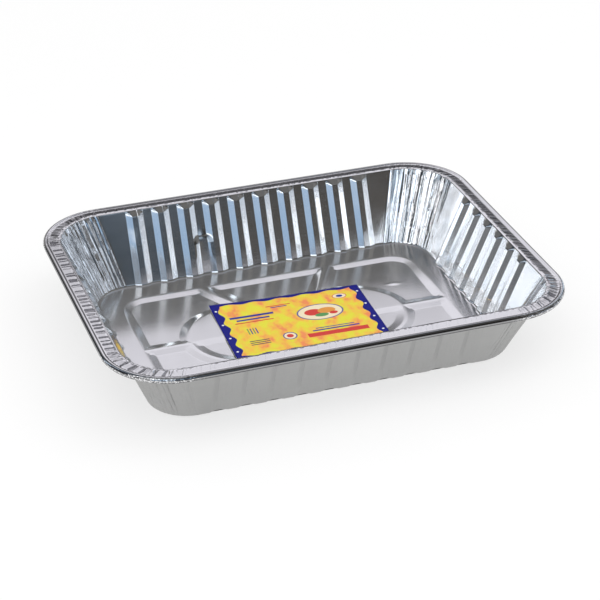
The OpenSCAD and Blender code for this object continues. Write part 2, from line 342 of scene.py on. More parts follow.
base_r = corner_radius(reach) + back * out_part
foot_share = flute_foot_share + (1 - flute_foot_share) * np.clip(height_share * 4, 0, 1)
from_mid = shift - mid + 100 * (np.abs(stretch) > 0) + 100 * ~is_side
on_back, on_right = side == 1, side == 0
left_shift = np.where(on_back, shift, 0)
swollen = from_mid + SWELL * bump_at(left_shift, z, SWELL_AT, SWELL_SIZE, 1) * (out_part > 0)
push = flute_push(np.where(on_back, swollen, from_mid), z) * (foot_share * (rim_share == 0))
knee_z = KNEE_Z - 5 * np.clip((left_shift - KNEE_AT) / 7.5, -1, 1) ** 2
knee = np.minimum((z - floor_z) / (knee_z - floor_z), 1 - (z - knee_z) / 2.6)
knee = KNEE * np.clip(knee, 0, 1) * smooth(7.6 - np.abs(left_shift - KNEE_AT), 0, 3) * on_back
scar_z = SCAR_Z + 0.9 * np.sin(shift / 7) + 0.6 * np.sin(shift / 2.9 + 1)
scar = SCAR * np.clip(1 - np.abs(z - scar_z) / 1.5, 0, 1) * on_right * smooth(52 - np.abs(shift), 0, 12)
push = push + (is_upper & (out_part > 0)) * (knee + scar)
fold_share = np.interp(level, [floor_z + 0.3, foot_end_z, (foot_end_z + flute_head_z) / 2, flute_head_z,
                               top_bend_z], [0, 0.4, 0.75, 1, 0.8])
fold_share *= np.clip(out_part / math.sin(wall_turn), 0, 1)
folds, fine = (between_levels(values, np.clip(height_share[:, 0], 0, 1.25)) for values in (fold_rows, fine_rows))
out = base_r - push + fold_depth * fold_share * (folds + 0.16 * fine)
print("the deepest push is", round(float(push.max()), 2), "mm")

# %% The wall grid
WAVE_STEP = 9
on_short = side % 2 == 0
start = np.where(on_short, half_w, half_l) + x - base_r
moved = shift + stretch * (start - np.where(on_short, straight_w, straight_l))
px, py = (sign[:, i] * (half + x - base_r) + moved * along[:, i] + normal[:, i] * out
          for i, half in enumerate((half_l, half_w)))
pz = z - back * down_part + 0 * px


def round_the_sides(right, back, left, front, in_corners=0.0):
    """A value for each column: the side's own, and in a corner a straight line between its two sides' values."""
    sides = np.array([right, back, left, front])
    k = side.astype(int) % 4
    return sides[k] + (sides[(k + 1) % 4] - sides[k]) * turn + in_corners * np.sin(math.pi * turn)


wave_knots = np.arange(0, N + WAVE_STEP, WAVE_STEP)
wavy = np.interp(np.arange(N), wave_knots, rng.uniform(0.5, 1.4, len(wave_knots)))
pz += crown * (round_the_sides(0.25, 0.34, 0.25, 0.12) * wavy)
on_flange = (rim_share > 0) & (rim_share < 1)
pz += 0.5 * rim_rows[-1] * np.sin(np.pi * np.clip(rim_share * 0.75 + 0.2, 0, 1)) * on_flange
print("grid spans", [(round(p.min(), 2), round(p.max(), 2)) for p in (px, py, pz)])

# %% [markdown]
# ## The embossed base
#
# The press lowers six panels round a raised middle with round ends, and half of the middle is a shallow dish.
# Each form is a distance: how far a point lies inside the panels' field, outside the raised middle, or beside a
# rib. The depth is the least of those distances, cut off at the width of the slope.

# %% Distances of the embossed forms
def field_distance(x, y):
    """How far a point lies inside the panels' rounded rectangle."""
    qx, qy = np.abs(x) - (panel_l - panel_r), np.abs(y) - (panel_w - panel_r)
    outside = np.hypot(np.maximum(qx, 0), np.maximum(qy, 0))
    return panel_r - outside - np.minimum(np.maximum(qx, qy), 0)


def island_distance(x, y):
    """How far a point lies outside the raised middle: the distance from its long axis, less its half width."""
    return np.hypot(np.maximum(np.abs(x) - (island_l - island_w) / 2, 0), y) - island_w / 2


def axis_rib_distance(x, y):
    """How far a point lies beside the flat top of the ribs on the long axis."""
    return np.abs(y) - axis_rib_w / 2


def slant_rib_distance(x, y):
    """How far a point lies beside the four slanting ribs, which are mirror images of each other."""
    foot = slant_rib_x - panel_w * math.tan(slant_rib_lean)
    across = (np.abs(x) - foot) * math.cos(slant_rib_lean) - np.abs(y) * math.sin(slant_rib_lean)
    return np.abs(across) - slant_rib_w / 2


def dish_distance(x, y):
    """How far a point lies inside the dish: inside the middle's edge, and in front of its long axis."""
    return np.minimum(-island_distance(x, y) - dish_rim_w, -y)


DIMPLE_AT, DIMPLE_SIZE, DIMPLE = (85, 34), (3.8, 1.5), 0.3
PRESSED = (field_distance, island_distance, axis_rib_distance, slant_rib_distance)
crease_out, crease_in = 1.3, 0.4


def pressed_height(x, y):
    """Height above the border: minus the least of the four depths and the dish's depth, plus the dimple."""
    depth = np.min([step(form(x, y), bevel_w, crease_out, crease_in) for form in PRESSED], axis=0)
    dish = dish_depth * step(dish_distance(x, y), dish_bevel_w, 0.5)
    return -emboss_depth * depth - dish + bump_at(x, y, DIMPLE_AT, DIMPLE_SIZE, DIMPLE)


print("depth in the middle of a panel:", float(pressed_height(np.array([90.0]), np.array([40.0]))[0]))

# %% [markdown]
# ## A mesh with an edge along every crease
#
# A plain grid would cut the creases in steps, and a mirror shows each step. So the outlines of the forms, each
# at a few distances, become lines that the triangles must follow (a constrained Delaunay triangulation), and
# loose points fill the flats between them. A line's points are found by walking from a guess until two
# distances have the wanted values, which also gives the mitres where two slopes meet.

# %% Lines of the base
TINY = 1e-4


def meet(form_a, form_b, guess, a, b):
    """Newton's steps to the point where form_a is a and form_b is b, for arrays of a and b."""
    p = np.array(guess, float) + np.zeros((len(a), 2))
    for _ in range(30):
        fa, fb = form_a(p[:, 0], p[:, 1]) - a, form_b(p[:, 0], p[:, 1]) - b
        (ax, ay), (bx, by) = (
            [(form(p[:, 0] + dx, p[:, 1] + dy) - wanted - now) / TINY for dx, dy in ((TINY, 0), (0, TINY))]
            for form, wanted, now in ((form_a, a, fa), (form_b, b, fb)))
        det = ax * by - ay * bx
        p -= np.stack([(by * fa - ay * fb) / det, (ax * fb - bx * fa) / det], 1)
    return p


def rounded_line(half_x, half_y, r, spacing):
    """Closed line of a rounded rectangle, with points about the spacing apart."""
    parts = []
    for k, (sx, sy) in enumerate(QUARTERS):
        a = math.pi / 2 * (k + np.linspace(0, 1, max(4, int(r * 1.6 / spacing))))
        parts.append(np.stack([sx * (half_x - r) + r * np.cos(a), sy * (half_y - r) + r * np.sin(a)], 1))
        nx, ny = QUARTERS[(k + 1) % 4]
        end = np.array([nx * (half_x - r), sy * half_y]) if k % 2 == 0 else np.array([sx * half_x, ny * (half_y - r)])
        count = int(np.linalg.norm(end - parts[-1][-1]) / spacing)
        if count > 1:
            t = np.linspace(0, 1, count + 1)[1:-1, None]
            parts.append(parts[-1][-1] * (1 - t) + end * t)
    return np.concatenate(parts)


MITRES = ((field_distance, axis_rib_distance, (100, 8)), (field_distance, slant_rib_distance, (60, 68)),
          (field_distance, slant_rib_distance, (34, 68)), (island_distance, axis_rib_distance, (84, 8)),
          (island_distance, slant_rib_distance, (44, 42)), (island_distance, slant_rib_distance, (22, 42)))
slope_marks = np.array([-crease_out, -0.45, 0.45, crease_out, bevel_w - crease_in, bevel_w + crease_in])
closed_lines = [rounded_line(panel_l - t, panel_w - t, panel_r - t, 2.6) for t in slope_marks]
closed_lines += [rounded_line(island_l / 2 + t, island_w / 2 + t, island_w / 2 + t - 1e-3, 2.2)
                 for t in slope_marks]
deep = np.linspace(crease_out, bevel_w - crease_in, 6)
quarter = [meet(*mitre, deep, deep) for mitre in MITRES]
for t in slope_marks:
    mark = np.array([t])
    tips = [meet(*mitre, np.maximum(mark, -0.4), mark)[0] for mitre in MITRES]
    quarter += [a + (b - a) * np.linspace(0, 1, 12)[:, None] for a, b in zip(tips[3:], tips[:3])]
open_lines = [line * np.array([sx, sy]) for line in quarter for sx in (1, -1) for sy in (1, -1)]
for t in (-0.5, 0.5, dish_bevel_w - 0.5, dish_bevel_w + 0.5):
    r = island_w / 2 - dish_rim_w - t
    low = math.asin(min(max(t, -0.5), dish_bevel_w) / r)
    a = np.linspace(math.pi + low, 2 * math.pi - low, 64)
    c = (island_l - island_w) / 2
    arc = np.stack([r * np.cos(a) + np.where(np.cos(a) < 0, -c, c), r * np.sin(a)], 1)
    flat = np.stack([np.linspace(arc[-1, 0], arc[0, 0], 60), np.full(60, arc[0, 1])], 1)
    open_lines += [arc, flat]
print("lines on the base:", len(closed_lines), "closed,", len(open_lines), "open")

# %% Triangles of the base
FILL_STEP, FILL_CORNER, KEEP_INSIDE = 4.6, 24, 1
points = [np.stack([px[0], py[0]], 1)]
edges = []
total = N
for number, line in enumerate(closed_lines + open_lines):
    count = len(line)
    points.append(line)
    edges += [(total + i, total + (i + 1) % count) for i in range(count if number < len(closed_lines) else count - 1)]
    total += count
lines_so_far = np.concatenate(points)
fill = np.stack(np.meshgrid(np.arange(-120, 121, FILL_STEP), np.arange(-85, 86, FILL_STEP)), -1)
fill[1::2, :, 0] += FILL_STEP / 2
fill = fill.reshape(-1, 2)
room = np.array([half_l + floor_x, half_w + floor_x]) - np.abs(fill)
edge_room = np.minimum(room.min(1), FILL_CORNER - np.hypot(*np.maximum(FILL_CORNER - room, 0).T))
nearest = np.array([np.min(np.sum((lines_so_far - p) ** 2, 1)) for p in fill]) ** 0.5
fill = fill[(edge_room > 4) & (nearest > 1.6)]
fill = fill[np.hypot((fill[:, 0] - DIMPLE_AT[0]) / 10, (fill[:, 1] - DIMPLE_AT[1]) / 6) > 1]
dimple = np.stack(np.meshgrid(np.arange(-9, 10, 1.5), np.arange(-4.8, 5, 1.2)), -1).reshape(-1, 2)
fill = np.concatenate([fill, dimple + DIMPLE_AT])
verts, _, faces, sources, _, _ = delaunay_2d_cdt([Vector(p) for p in np.concatenate([lines_so_far, fill])], edges,
                                                 [list(range(N))], KEEP_INSIDE, 1e-5, True)
base_xy = np.array([tuple(v) for v in verts])
base_faces = np.array([f for f in faces if len(f) == 3])
from_rim = np.array([min([s for s in source if s < N], default=-1) for source in sources])
a, b, c = (base_xy[base_faces[:, i]] for i in range(3))
turned = (b[:, 0] - a[:, 0]) * (c[:, 1] - a[:, 1]) - (b[:, 1] - a[:, 1]) * (c[:, 0] - a[:, 0]) < 0
base_faces[turned] = base_faces[turned][:, ::-1]
print("base:", len(base_xy), "points,", len(base_faces), "triangles,", (from_rim >= 0).sum(), "on the rim")

# %% [markdown]
# ## Joining the two into one closed sheet
#
# The base's outer points are the wall grid's first row, so nothing is left open there. The lower skin uses the
# same triangles turned over, one foil thickness below. Eight attributes go along with the mesh for the finish:
# a place along the sheet, and seven numbers that say where corners gather, where the flange and the wall are,
# where the foil is crimped or scuffed, and how much shade is painted on the flange, its pleats and the rolled edge.

# %% Helpers for meshes
def add_object(name, data):
    """A new object in the scene, with a mesh, a lamp or a camera as its data."""
    obj = bpy.data.objects.new(name, data)
    scene.collection.objects.link(obj)
    return obj


def add_mesh(name, points, *faces):
    """An object with a smooth mesh, from an array of points in metres and arrays of faces."""
    mesh = bpy.data.meshes.new(name)
    mesh.from_pydata(points.tolist(), [], [face for group in faces for face in group.tolist()], shade_flat=False)
    mesh.validate()
    return add_object(name, mesh)


OUTWARD = ((0, 0), (1, 0), (1, 1), (0, 1))


def grid_faces(count_j, count_i, order=OUTWARD, closed=False):
    """Four-sided faces of a grid of points, open or closed round i; the order is their corners' steps in j and i."""
    j, i = np.meshgrid(np.arange(count_j - 1), np.arange(count_i if closed else count_i - 1), indexing="ij")
    return np.stack([(j + dj) * count_i + (i + di) % count_i for dj, di in order], -1).reshape(-1, 4)


def flat_weighted_normals(coords, quads, triangles):
    """A point's normal is the sum of its faces' normals, each times its squared area, made one long."""
    total = np.zeros_like(coords)
    for faces in (quads, triangles):
        p = coords[faces]
        area = np.cross(p[:, 2] - p[:, 0], p[:, -1] - p[:, 1])
        area = area * np.linalg.norm(area, axis=1)[:, None]
        for k in range(faces.shape[1]):
            np.add.at(total, faces[:, k], area)
    return total / np.maximum(np.linalg.norm(total, axis=1), 1e-9)[:, None]


def path_length(x, y):
    """Length of a line of points from its start to each point: the sum of the steps."""
    return np.concatenate([[0], np.cumsum(np.hypot(np.diff(x), np.diff(y)))])


def store(mesh, name, values):
    """Keeps an array with the mesh's points, as one number or one vector for each."""
    kind, field = ("FLOAT_VECTOR", "vector") if values.ndim == 2 else ("FLOAT", "value")
    mesh.attributes.new(name, kind, "POINT").data.foreach_set(field, values.astype(np.float32).ravel())


print("helpers: add_object, add_mesh, grid_faces, flat_weighted_normals, path_length, store")

# %% The sheet
inner = from_rim < 0
top_index = np.where(inner, R * N + np.cumsum(inner) - 1, from_rim)
low_index = np.where(inner, R * N + inner.sum() + np.cumsum(inner) - 1, (R - 1) * N + from_rim)
bx, by = base_xy[inner].T
rise = pressed_height(bx, by)
sway = 0.03 * np.sin(bx / 17 + 1) * np.sin(by / 13 + 2) + 0.02 * np.sin(bx / 9 - by / 11)
sway *= smooth(np.minimum(half_l + floor_x - np.abs(bx), half_w + floor_x - np.abs(by)), 0, 12)
rise = rise + np.where(rise > -0.98 * emboss_depth, np.maximum(sway, -0.02), np.maximum(sway, 0))
coords = np.concatenate([np.stack([px, py, pz], 2).reshape(-1, 3), np.stack([bx, by, floor_z + rise], 1),
                         np.stack([bx, by, floor_z + rise - foil_t], 1)])
quad = grid_faces(R, N, closed=True)
triangles = np.concatenate([top_index[base_faces], low_index[base_faces][:, ::-1]])
foil = add_mesh("foil_sheet", coords * MM, quad, triangles)
foil.data.normals_split_custom_set_from_vertices(flat_weighted_normals(coords, quad, triangles).tolist())
print("points:", len(coords), "triangles:", 2 * len(quad) + len(triangles))
print("sheet in mm:", np.round(coords.min(0), 2), np.round(coords.max(0), 2))

# %% Where the finish varies
perimeter = path_length(px[len(upper) // 2], py[len(upper) // 2])
profile = path_length(rows[:, 0], rows[:, 1])
profile = np.minimum(profile, profile[-1] - profile)
ring_r = perimeter[-1] / (2 * math.pi)
middle = (perimeter - perimeter[-1] / 2) / perimeter[-1] * 2 * math.pi
flow = np.stack([np.tile(ring_r * np.cos(middle), R), np.tile(ring_r * np.sin(middle), R),
                 np.repeat(profile, N)], 1)
base_flow = np.stack([bx, by, 0 * bx], 1)
store(foil.data, "flow", np.concatenate([flow, base_flow, base_flow]) * MM)


def on_last_rows(angles, marks, values):
    """A column of numbers for the upper skin's last rows: straight lines between angles given in degrees."""
    column = np.zeros((R, 1))
    column[len(upper) - len(angles):len(upper), 0] = np.interp(angles, np.radians(marks), values)
    return column


near_corner = np.where(is_side, smooth(np.abs(stretch), 0.3, 1.0) * 0.5, 1.0)
# roll is painted shade on the rolled edge: under it and over its outer face all round, over its top at the front, and
# over its top and the flange's outer half at the back, a little at the right.
roll = on_last_rows(roll_angles, [-95, -75, -18, -9, 0, 6, 16, 42, 58], [0, 1, 1, 0.72, 0.66, 0.72, 0.9, 0.7, 0])
roll = roll + round_the_sides(0, 0, 0, 1) * on_last_rows(roll_angles, [35, 58, 85, 105], [0, 0.65, 0.6, 0])
with_flange = np.concatenate([np.radians([130, 128, 126, 124, 122]), roll_angles])
roll = roll + round_the_sides(0.1, 0.6, 0, 0) * on_last_rows(with_flange, [20, 58, 121, 126], [0, 1, 1, 0.2])
white_slope = (from_mid < -crest_w / 2) & (from_mid > -flute_reach) & on_back
worn = white_slope * smooth(z, 28, 42) * 0.2
worn = worn + white_slope * smooth(left_shift, 60, 72) * smooth(z, 3, 8) * 0.5
finish = {"gather": near_corner * smooth(level, floor_z, foot_end_z + 2),
          "flange": np.clip(rim_share, 0, 1) + (rim_share > 0),
          # pleat marks the flange's corner wrinkles, where shade is painted.
          "pleat": np.abs(rim_rows[-1]) * (rim_share > 0),
          "upright": smooth(level, floor_z, foot_end_z + 1),
          # crimp sets how strongly each side is crimped and how much shade is painted over its flange.
          "crimp": np.clip(round_the_sides(0.9, 0.5, 1.0, 0.06, 0.4), 0, 1),
          "roll": np.clip(roll, 0, 1), "scuff": np.clip(worn, 0, 1) * (out_part > 0)}
for name, values in finish.items():
    store(foil.data, name, np.concatenate([np.broadcast_to(values, (R, N)).ravel(), np.zeros(2 * len(bx))]))
# The faces of the roll's underside, from about 60 degrees below its middle, take the dull side's darker material:
# painted shade under the roll.
outer_faces = np.concatenate([np.repeat(np.arange(R - 1) >= len(upper) - 4, N), np.zeros(len(base_faces), bool),
                              np.ones(len(base_faces), bool)])
foil.data.polygons.foreach_set("material_index", outer_faces.astype(np.int32))
print("attributes: flow,", ", ".join(finish))

# %% [markdown]
# ## Node groups for foil
#
# Rolled foil is never a perfect mirror: it carries fine rolling lines, soft waves and small creases. One node
# group makes these as a height and a roughness, and both sides of the sheet use it with their own values. A
# second group draws the short crimps that the press leaves across the flange, and paints shade into them, into
# the corner pleats, along the flange's inner edge and over the flange on its sides.

# %% Tools for node groups
class Nodes:
    """A node tree, with a short name for each kind of step that this script adds to it."""

    def __init__(self, tree):
        self.tree = tree

    def add(self, kind, values=None, **settings):
        """A node with its settings, its unlinked values and its links made in one go."""
        node = self.tree.nodes.new(kind)
        for key, value in settings.items():
            setattr(node, key, value)
        for key, value in (values or {}).items():
            if isinstance(value, bpy.types.NodeSocket):
                self.tree.links.new(value, node.inputs[key])
            else:
                node.inputs[key].default_value = value
        return node

    def calc(self, operation, *terms, clamp=False):
        """One step of arithmetic on sockets or numbers; a third and further terms are taken in turn."""
        if len(terms) > 2:
            terms = self.calc(operation, *terms[:-1]), terms[-1]
        return self.add("ShaderNodeMath", dict(enumerate(terms)), operation=operation, use_clamp=clamp).outputs[0]

    plus = functools.partialmethod(calc, "ADD")
    minus = functools.partialmethod(calc, "SUBTRACT")
    times = functools.partialmethod(calc, "MULTIPLY")
    most = functools.partialmethod(calc, "MAXIMUM")

    def between(self, value, low, high, to_low=0.0, to_high=1.0):
        """Maps low..high to to_low..to_high, smoothly and clamped."""
        return self.add("ShaderNodeMapRange", {0: value, 1: low, 2: high, 3: to_low, 4: to_high},
                        interpolation_type="SMOOTHSTEP").outputs[0]

    def noise(self, vector, scale, detail=2.0, roughness=0.5):
        """Fractal noise from 0 to 1 at a scale, in features for each metre."""
        return self.add("ShaderNodeTexNoise", {"Vector": vector, "Scale": scale, "Detail": detail,
                                               "Roughness": roughness}).outputs["Fac"]

    def ridges(self, vector, scale, detail, roughness):
        """How far the noise is from its middle value, which is zero along sharp winding lines."""
        return self.calc("ABSOLUTE", self.minus(self.noise(vector, scale, detail, roughness), 0.5))

    def stretched(self, vector, sx, sy, sz):
        """The vector with each part multiplied, to stretch a pattern."""
        return self.add("ShaderNodeVectorMath", {0: vector, 1: (sx, sy, sz)}, operation="MULTIPLY").outputs[0]

    def parts(self, vector):
        """The three parts of a vector."""
        return self.add("ShaderNodeSeparateXYZ", {0: vector}).outputs

    def attribute(self, name, output="Fac"):
        """A value that is kept with the mesh's points."""
        return self.add("ShaderNodeAttribute", attribute_name=name).outputs[output]

    def blend(self, share, below, above):
        """The colour below where the share is 0, and the one above where it is 1."""
        below, above = ((*c, 1) if isinstance(c, tuple) else c for c in (below, above))
        return self.add("ShaderNodeMix", {0: share, 6: below, 7: above}, data_type="RGBA").outputs[2]

    def bump(self, height, strength, distance, **more):
        """A node that tilts the normal by a height; more may hold another normal to start from."""
        return self.add("ShaderNodeBump", {"Strength": strength, "Distance": distance, "Height": height, **more})

    def seen_directly(self):
        """1 for rays from the camera, off metal or through glass; 0 for soft light on dull surfaces."""
        rays = self.add("ShaderNodeLightPath").outputs
        return self.most(rays["Is Camera Ray"], rays["Is Glossy Ray"], rays["Is Transmission Ray"])


def new_group(name, inputs, outputs):
    """An empty node group with float inputs, or vector ones where the value is None; its nodes and its inputs."""
    group = bpy.data.node_groups.new(name, "ShaderNodeTree")
    for title, value in inputs.items():
        kind = "NodeSocketVector" if value is None else "NodeSocketFloat"
        socket = group.interface.new_socket(name=title, in_out="INPUT", socket_type=kind)
        if value is not None:
            socket.default_value = value
    for title in outputs:
        group.interface.new_socket(name=title, in_out="OUTPUT", socket_type="NodeSocketFloat")
    nodes = Nodes(group)
    return nodes, nodes.add("NodeGroupInput").outputs


def new_material(name, mesh):
    """An empty material in the mesh's next slot, and its nodes."""
    material = bpy.data.materials.new(name)
    material.use_nodes = True
    material.node_tree.nodes.clear()
    mesh.materials.append(material)
    return Nodes(material.node_tree)


print("tools:", ", ".join(name for name in dir(Nodes) if not name.startswith("_")))

# %% Group: creased foil
n, given = new_group("creased foil", {"Flow": None, "Place": None, "Gather": 0.0, "Upright": 0.0, "Scuff": 0.0,
                                      "Creases": 1.0, "Waves": 1.0}, ["Height", "Rough", "Tint"])
creased = n.tree
flow_in, place_in, upright = given["Flow"], given["Place"], given["Upright"]
sharp = n.ridges(n.stretched(flow_in, 1, 1, 0.1), 340, 3, 0.55)
crumple = n.ridges(n.stretched(flow_in, 1, 1, 0.45), 260, 4, 0.62)
soft_waves = n.noise(place_in, 55)
small_dents = n.noise(place_in, 420, 3, 0.6)
rolling = n.noise(n.stretched(place_in, 12, 900, 900), 1.0, 3, 0.6)
gathered = n.times(given["Gather"], given["Creases"])
calm = n.times(given["Waves"], n.plus(0.05, n.times(upright, 0.5)))
scuffed = n.plus(n.times(given["Scuff"], 1.6), n.times(upright, 0.04))
height = n.plus(n.times(gathered, n.plus(n.times(sharp, 0.55), n.times(crumple, 0.4))), n.times(soft_waves, calm),
                n.times(small_dents, scuffed), n.times(rolling, 0.0025))
n.add("NodeGroupOutput", {"Height": height, "Rough": n.plus(n.times(rolling, 0.6), n.times(soft_waves, 0.4)),
                          "Tint": n.noise(place_in, 90, 3, 0.6)})
print("group:", creased.name)

# %% Group: crimps across the flange
# Besides the crimps' height, the group paints shade: its Dark output darkens their grooves, the corner pleats, flecks
# along the flange's inner edge and the flange beyond it, most on the left and right.
CRIMPS_PER_METRE = 225.0
n, given = new_group("flange crimps", {"Flow": None, "Flange": 0.0, "Pleat": 0.0, "Crimp": 1.0}, ["Height", "Dark"])
crimps = n.tree
flow_in, share, crimped = given["Flow"], given["Flange"], given["Crimp"]
flow_parts = n.parts(flow_in)
length = n.times(n.calc("ARCTAN2", flow_parts[1], flow_parts[0]), ring_r * MM)
slant = n.plus(n.times(flow_parts[2], 0.3), n.times(n.noise(flow_in, 900), 0.0012))
line = n.times(n.plus(length, slant), CRIMPS_PER_METRE)
cells = n.add("ShaderNodeTexVoronoi", {"W": line, "Scale": 1.0, "Randomness": 1.0}, voronoi_dimensions="1D",
              feature="F1").outputs
chance = n.add("ShaderNodeSeparateColor", {0: cells["Color"]}).outputs
width = n.times(crimped, n.plus(0.18, n.times(chance[2], 0.24)))
narrow = n.minus(1.0, n.between(cells["Distance"], n.times(width, 0.4), width))
begin = n.between(n.minus(share, n.times(chance[1], 0.15)), 1.04, 1.14)
stop = n.minus(1.0, n.between(share, 1.84, 1.93))
strong = n.times(n.between(chance[0], 0.0, 0.5, 0.3, 1.0), n.calc("MULTIPLY", crimped, 1.5, clamp=True))
# depth is the crimps' bump height and also the painted shade in their grooves.
depth = n.times(narrow, begin, stop, strong)
# Painted shade in the flange's corner pleats.
fold = n.times(n.between(given["Pleat"], 0.3, 0.9), stop)
# Painted shade over the flange beyond its inner edge, as strong as the side's crimp value.
painted_flange_shade = n.times(n.between(share, 1.2, 1.35), stop, crimped, 0.24)
# Painted shade in flecks along the flange's inner edge.
lip = n.minus(n.between(share, 1.0, 1.03), n.between(share, 1.14, 1.32))
lip_crumple_shade = n.times(n.between(n.noise(flow_in, 420, 3), 0.5, 0.56), lip)
# Dark is all the painted shade of the flange.
n.add("NodeGroupOutput", {"Height": depth, "Dark": n.most(depth, painted_flange_shade, n.times(fold, 0.7), n.times(lip_crumple_shade, 0.8))})
print("group:", crimps.name)

# %% Materials of the two sides
# Colours of painted shade: on the flange's crimps, pleats and inner edge, and on the rolled edge.
PAINTED_CREASE_SHADE, PAINTED_ROLL_SHADE = (0.10, 0.10, 0.12), (0.062, 0.06, 0.064)


def foil_material(name, colour, roughness, rough_spread, waves, creases):
    """Metal with the groups' heights as bump, their roughness added to its own, and painted shade in its colour."""
    n = new_material(name, foil.data)
    flow = n.attribute("flow", "Vector")
    mark = {key: n.attribute(key) for key in finish}
    surface = n.add("ShaderNodeGroup", {
        "Flow": flow, "Place": n.add("ShaderNodeTexCoord").outputs["Object"], "Gather": mark["gather"],
        "Upright": mark["upright"], "Scuff": mark["scuff"], "Creases": creases, "Waves": waves},
        node_tree=creased).outputs
    strokes = n.add("ShaderNodeGroup", {"Flow": flow, "Flange": mark["flange"], "Pleat": mark["pleat"],
                                        "Crimp": mark["crimp"]}, node_tree=crimps).outputs
    waved = n.bump(surface["Height"], 1.0, 0.00035)
    pressed = n.bump(strokes["Height"], 1.0, 0.0002, Normal=waved.outputs[0])
    pressed.invert = True
    # Lighter patches in the corners break up the rolled edge's painted shade.
    patchy = n.times(n.between(n.noise(flow, 1100), 0.50, 0.56), mark["gather"])
    roll_shade_share = n.times(mark["roll"], n.minus(0.95, n.times(patchy, 0.75)))
    shade = n.blend(surface["Tint"], tuple(c * 0.96 for c in colour), colour)
    # The crimps group's Dark output blends painted shade into the colour.
    shade = n.blend(n.times(strokes["Dark"], 0.8), shade, PAINTED_CREASE_SHADE)
    rough = n.between(surface["Rough"], 0.3, 0.7, roughness - rough_spread, roughness + rough_spread)
    rough = n.plus(rough, n.times(n.minus(1.0, mark["upright"]), 0.04))
    # The rolled edge's painted shade goes into the base colour last.
    shader = n.add("ShaderNodeBsdfPrincipled", {
        "Base Color": n.blend(roll_shade_share, shade, PAINTED_ROLL_SHADE), "Metallic": 1.0,
        "Roughness": n.minus(rough, n.times(mark["gather"], 0.04)), "Normal": pressed.outputs[0]})
    n.add("ShaderNodeOutputMaterial", {0: shader.outputs[0]})


foil_material("bright side of the foil", (0.92, 0.925, 0.935), 0.14, 0.025, 0.5, 1.0)
# The dull side is rougher than the bright side; its base colour, half as bright, is painted shade that stands for the
# shaded floor which the outside mirrors.
foil_material("dull side of the foil", (0.46, 0.46, 0.455), 0.42, 0.05, 0.4, 3.0)
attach(foil, "root")
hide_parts("tray")
print("foil_sheet stands for the CAD node tray")

# %% [markdown]
# ## The card
#
# A coated card of 111 by 76 mm lies on the raised middle. It is thin and springy, so it isn't quite flat: one
# corner at the back stands up a little. The print is a plain design of its own, made only of mathematical
# shapes: a blue frame with a waved inner edge, a warm mottled field, and plain rounds and bars on it.

# %% The card's sheet
card_l, card_w, card_t = 111.0, 76.5, 0.4
card_x, card_y, card_turn = 1.5, 2.5, math.radians(-2)
CARD_COLUMNS, CARD_ROWS = 90, 62
u, v = np.meshgrid(np.linspace(-0.5, 0.5, CARD_COLUMNS), np.linspace(-0.5, 0.5, CARD_ROWS))


def card_height(u, v):
    """Level, with one corner lifted as the square of the way into it, and a faint bow."""
    lifted = np.clip((-u + v - 0.45) / 0.55, 0, 1)
    return 1.6 * lifted ** 2 + 0.12 * (1 - (2 * u) ** 2) * (v + 0.5)


cu, cv = u * card_l, v * card_w
cx = card_x + cu * math.cos(card_turn) - cv * math.sin(card_turn)
cy = card_y + cu * math.sin(card_turn) + cv * math.cos(card_turn)
cz = floor_z + 0.02 + card_height(u, v)
card_points = np.concatenate([np.stack([cx, cy, cz + t], 2).reshape(-1, 3) for t in (card_t, 0)])
face = grid_faces(CARD_ROWS, CARD_COLUMNS, ((0, 0), (0, 1), (1, 1), (1, 0)))
index = np.arange(CARD_ROWS * CARD_COLUMNS).reshape(CARD_ROWS, CARD_COLUMNS)
edge_loop = np.concatenate([index[0], index[1:, -1], index[-1, -2::-1], index[-2:0:-1, 0]])
following = np.roll(edge_loop, -1)
under = index.size
edge_faces = np.stack([edge_loop + under, following + under, following, edge_loop], 1)
card = add_mesh("printed_card", card_points * MM, face, face[:, ::-1] + under, edge_faces)
store(card.data, "sheet", np.concatenate([np.stack([cu, cv, 0 * cu], 2).reshape(-1, 3)] * 2) * MM)
card.data.polygons.foreach_set("material_index", [0] * len(face) + [1] * (len(face) + len(edge_faces)))
print("card:", len(face) * 4 + len(edge_faces) * 2, "triangles")

# %% Groups for the print
def shape_group(name):
    """A group for one printed shape: its nodes, its half sizes, and the way from its middle to the point."""
    n, given = new_group(name, {"Sheet": None, "X": 0.0, "Y": 0.0, "Half width": 0.005, "Half height": 0.005}, ["Mask"])
    place = n.parts(given["Sheet"])
    return n, given["Half width"], given["Half height"], n.minus(place[0], given["X"]), n.minus(place[1], given["Y"])


n, half_x, half_y, dx, dy = shape_group("printed round")
dx, dy = n.calc("DIVIDE", dx, half_x), n.calc("DIVIDE", dy, half_y)
away = n.calc("SQRT", n.plus(n.times(dx, dx), n.times(dy, dy)))
n.add("NodeGroupOutput", {"Mask": n.minus(1.0, n.between(away, 0.97, 1.03))})
disc = n.tree

n, half_x, half_y, dx, dy = shape_group("printed bar")
dx, dy = n.minus(n.calc("ABSOLUTE", dx), half_x), n.minus(n.calc("ABSOLUTE", dy), half_y)
n.add("NodeGroupOutput", {"Mask": n.minus(1.0, n.between(n.most(dx, dy), -0.0001, 0.0001))})
bar = n.tree
print("groups:", disc.name, "and", bar.name)

# %% The print
NAVY, RED, CREAM, GREEN = (0.015, 0.035, 0.30), (0.62, 0.05, 0.04), (0.85, 0.74, 0.52), (0.10, 0.30, 0.10)
DARK, ORANGE, SILVER, FRAME_BLUE = (0.03, 0.03, 0.10), (0.72, 0.30, 0.06), (0.75, 0.76, 0.80), (0.002, 0.004, 0.20)
n = new_material("printed card", card.data)
sheet = n.attribute("sheet", "Vector")
sheet_x, sheet_y, _ = n.parts(sheet)


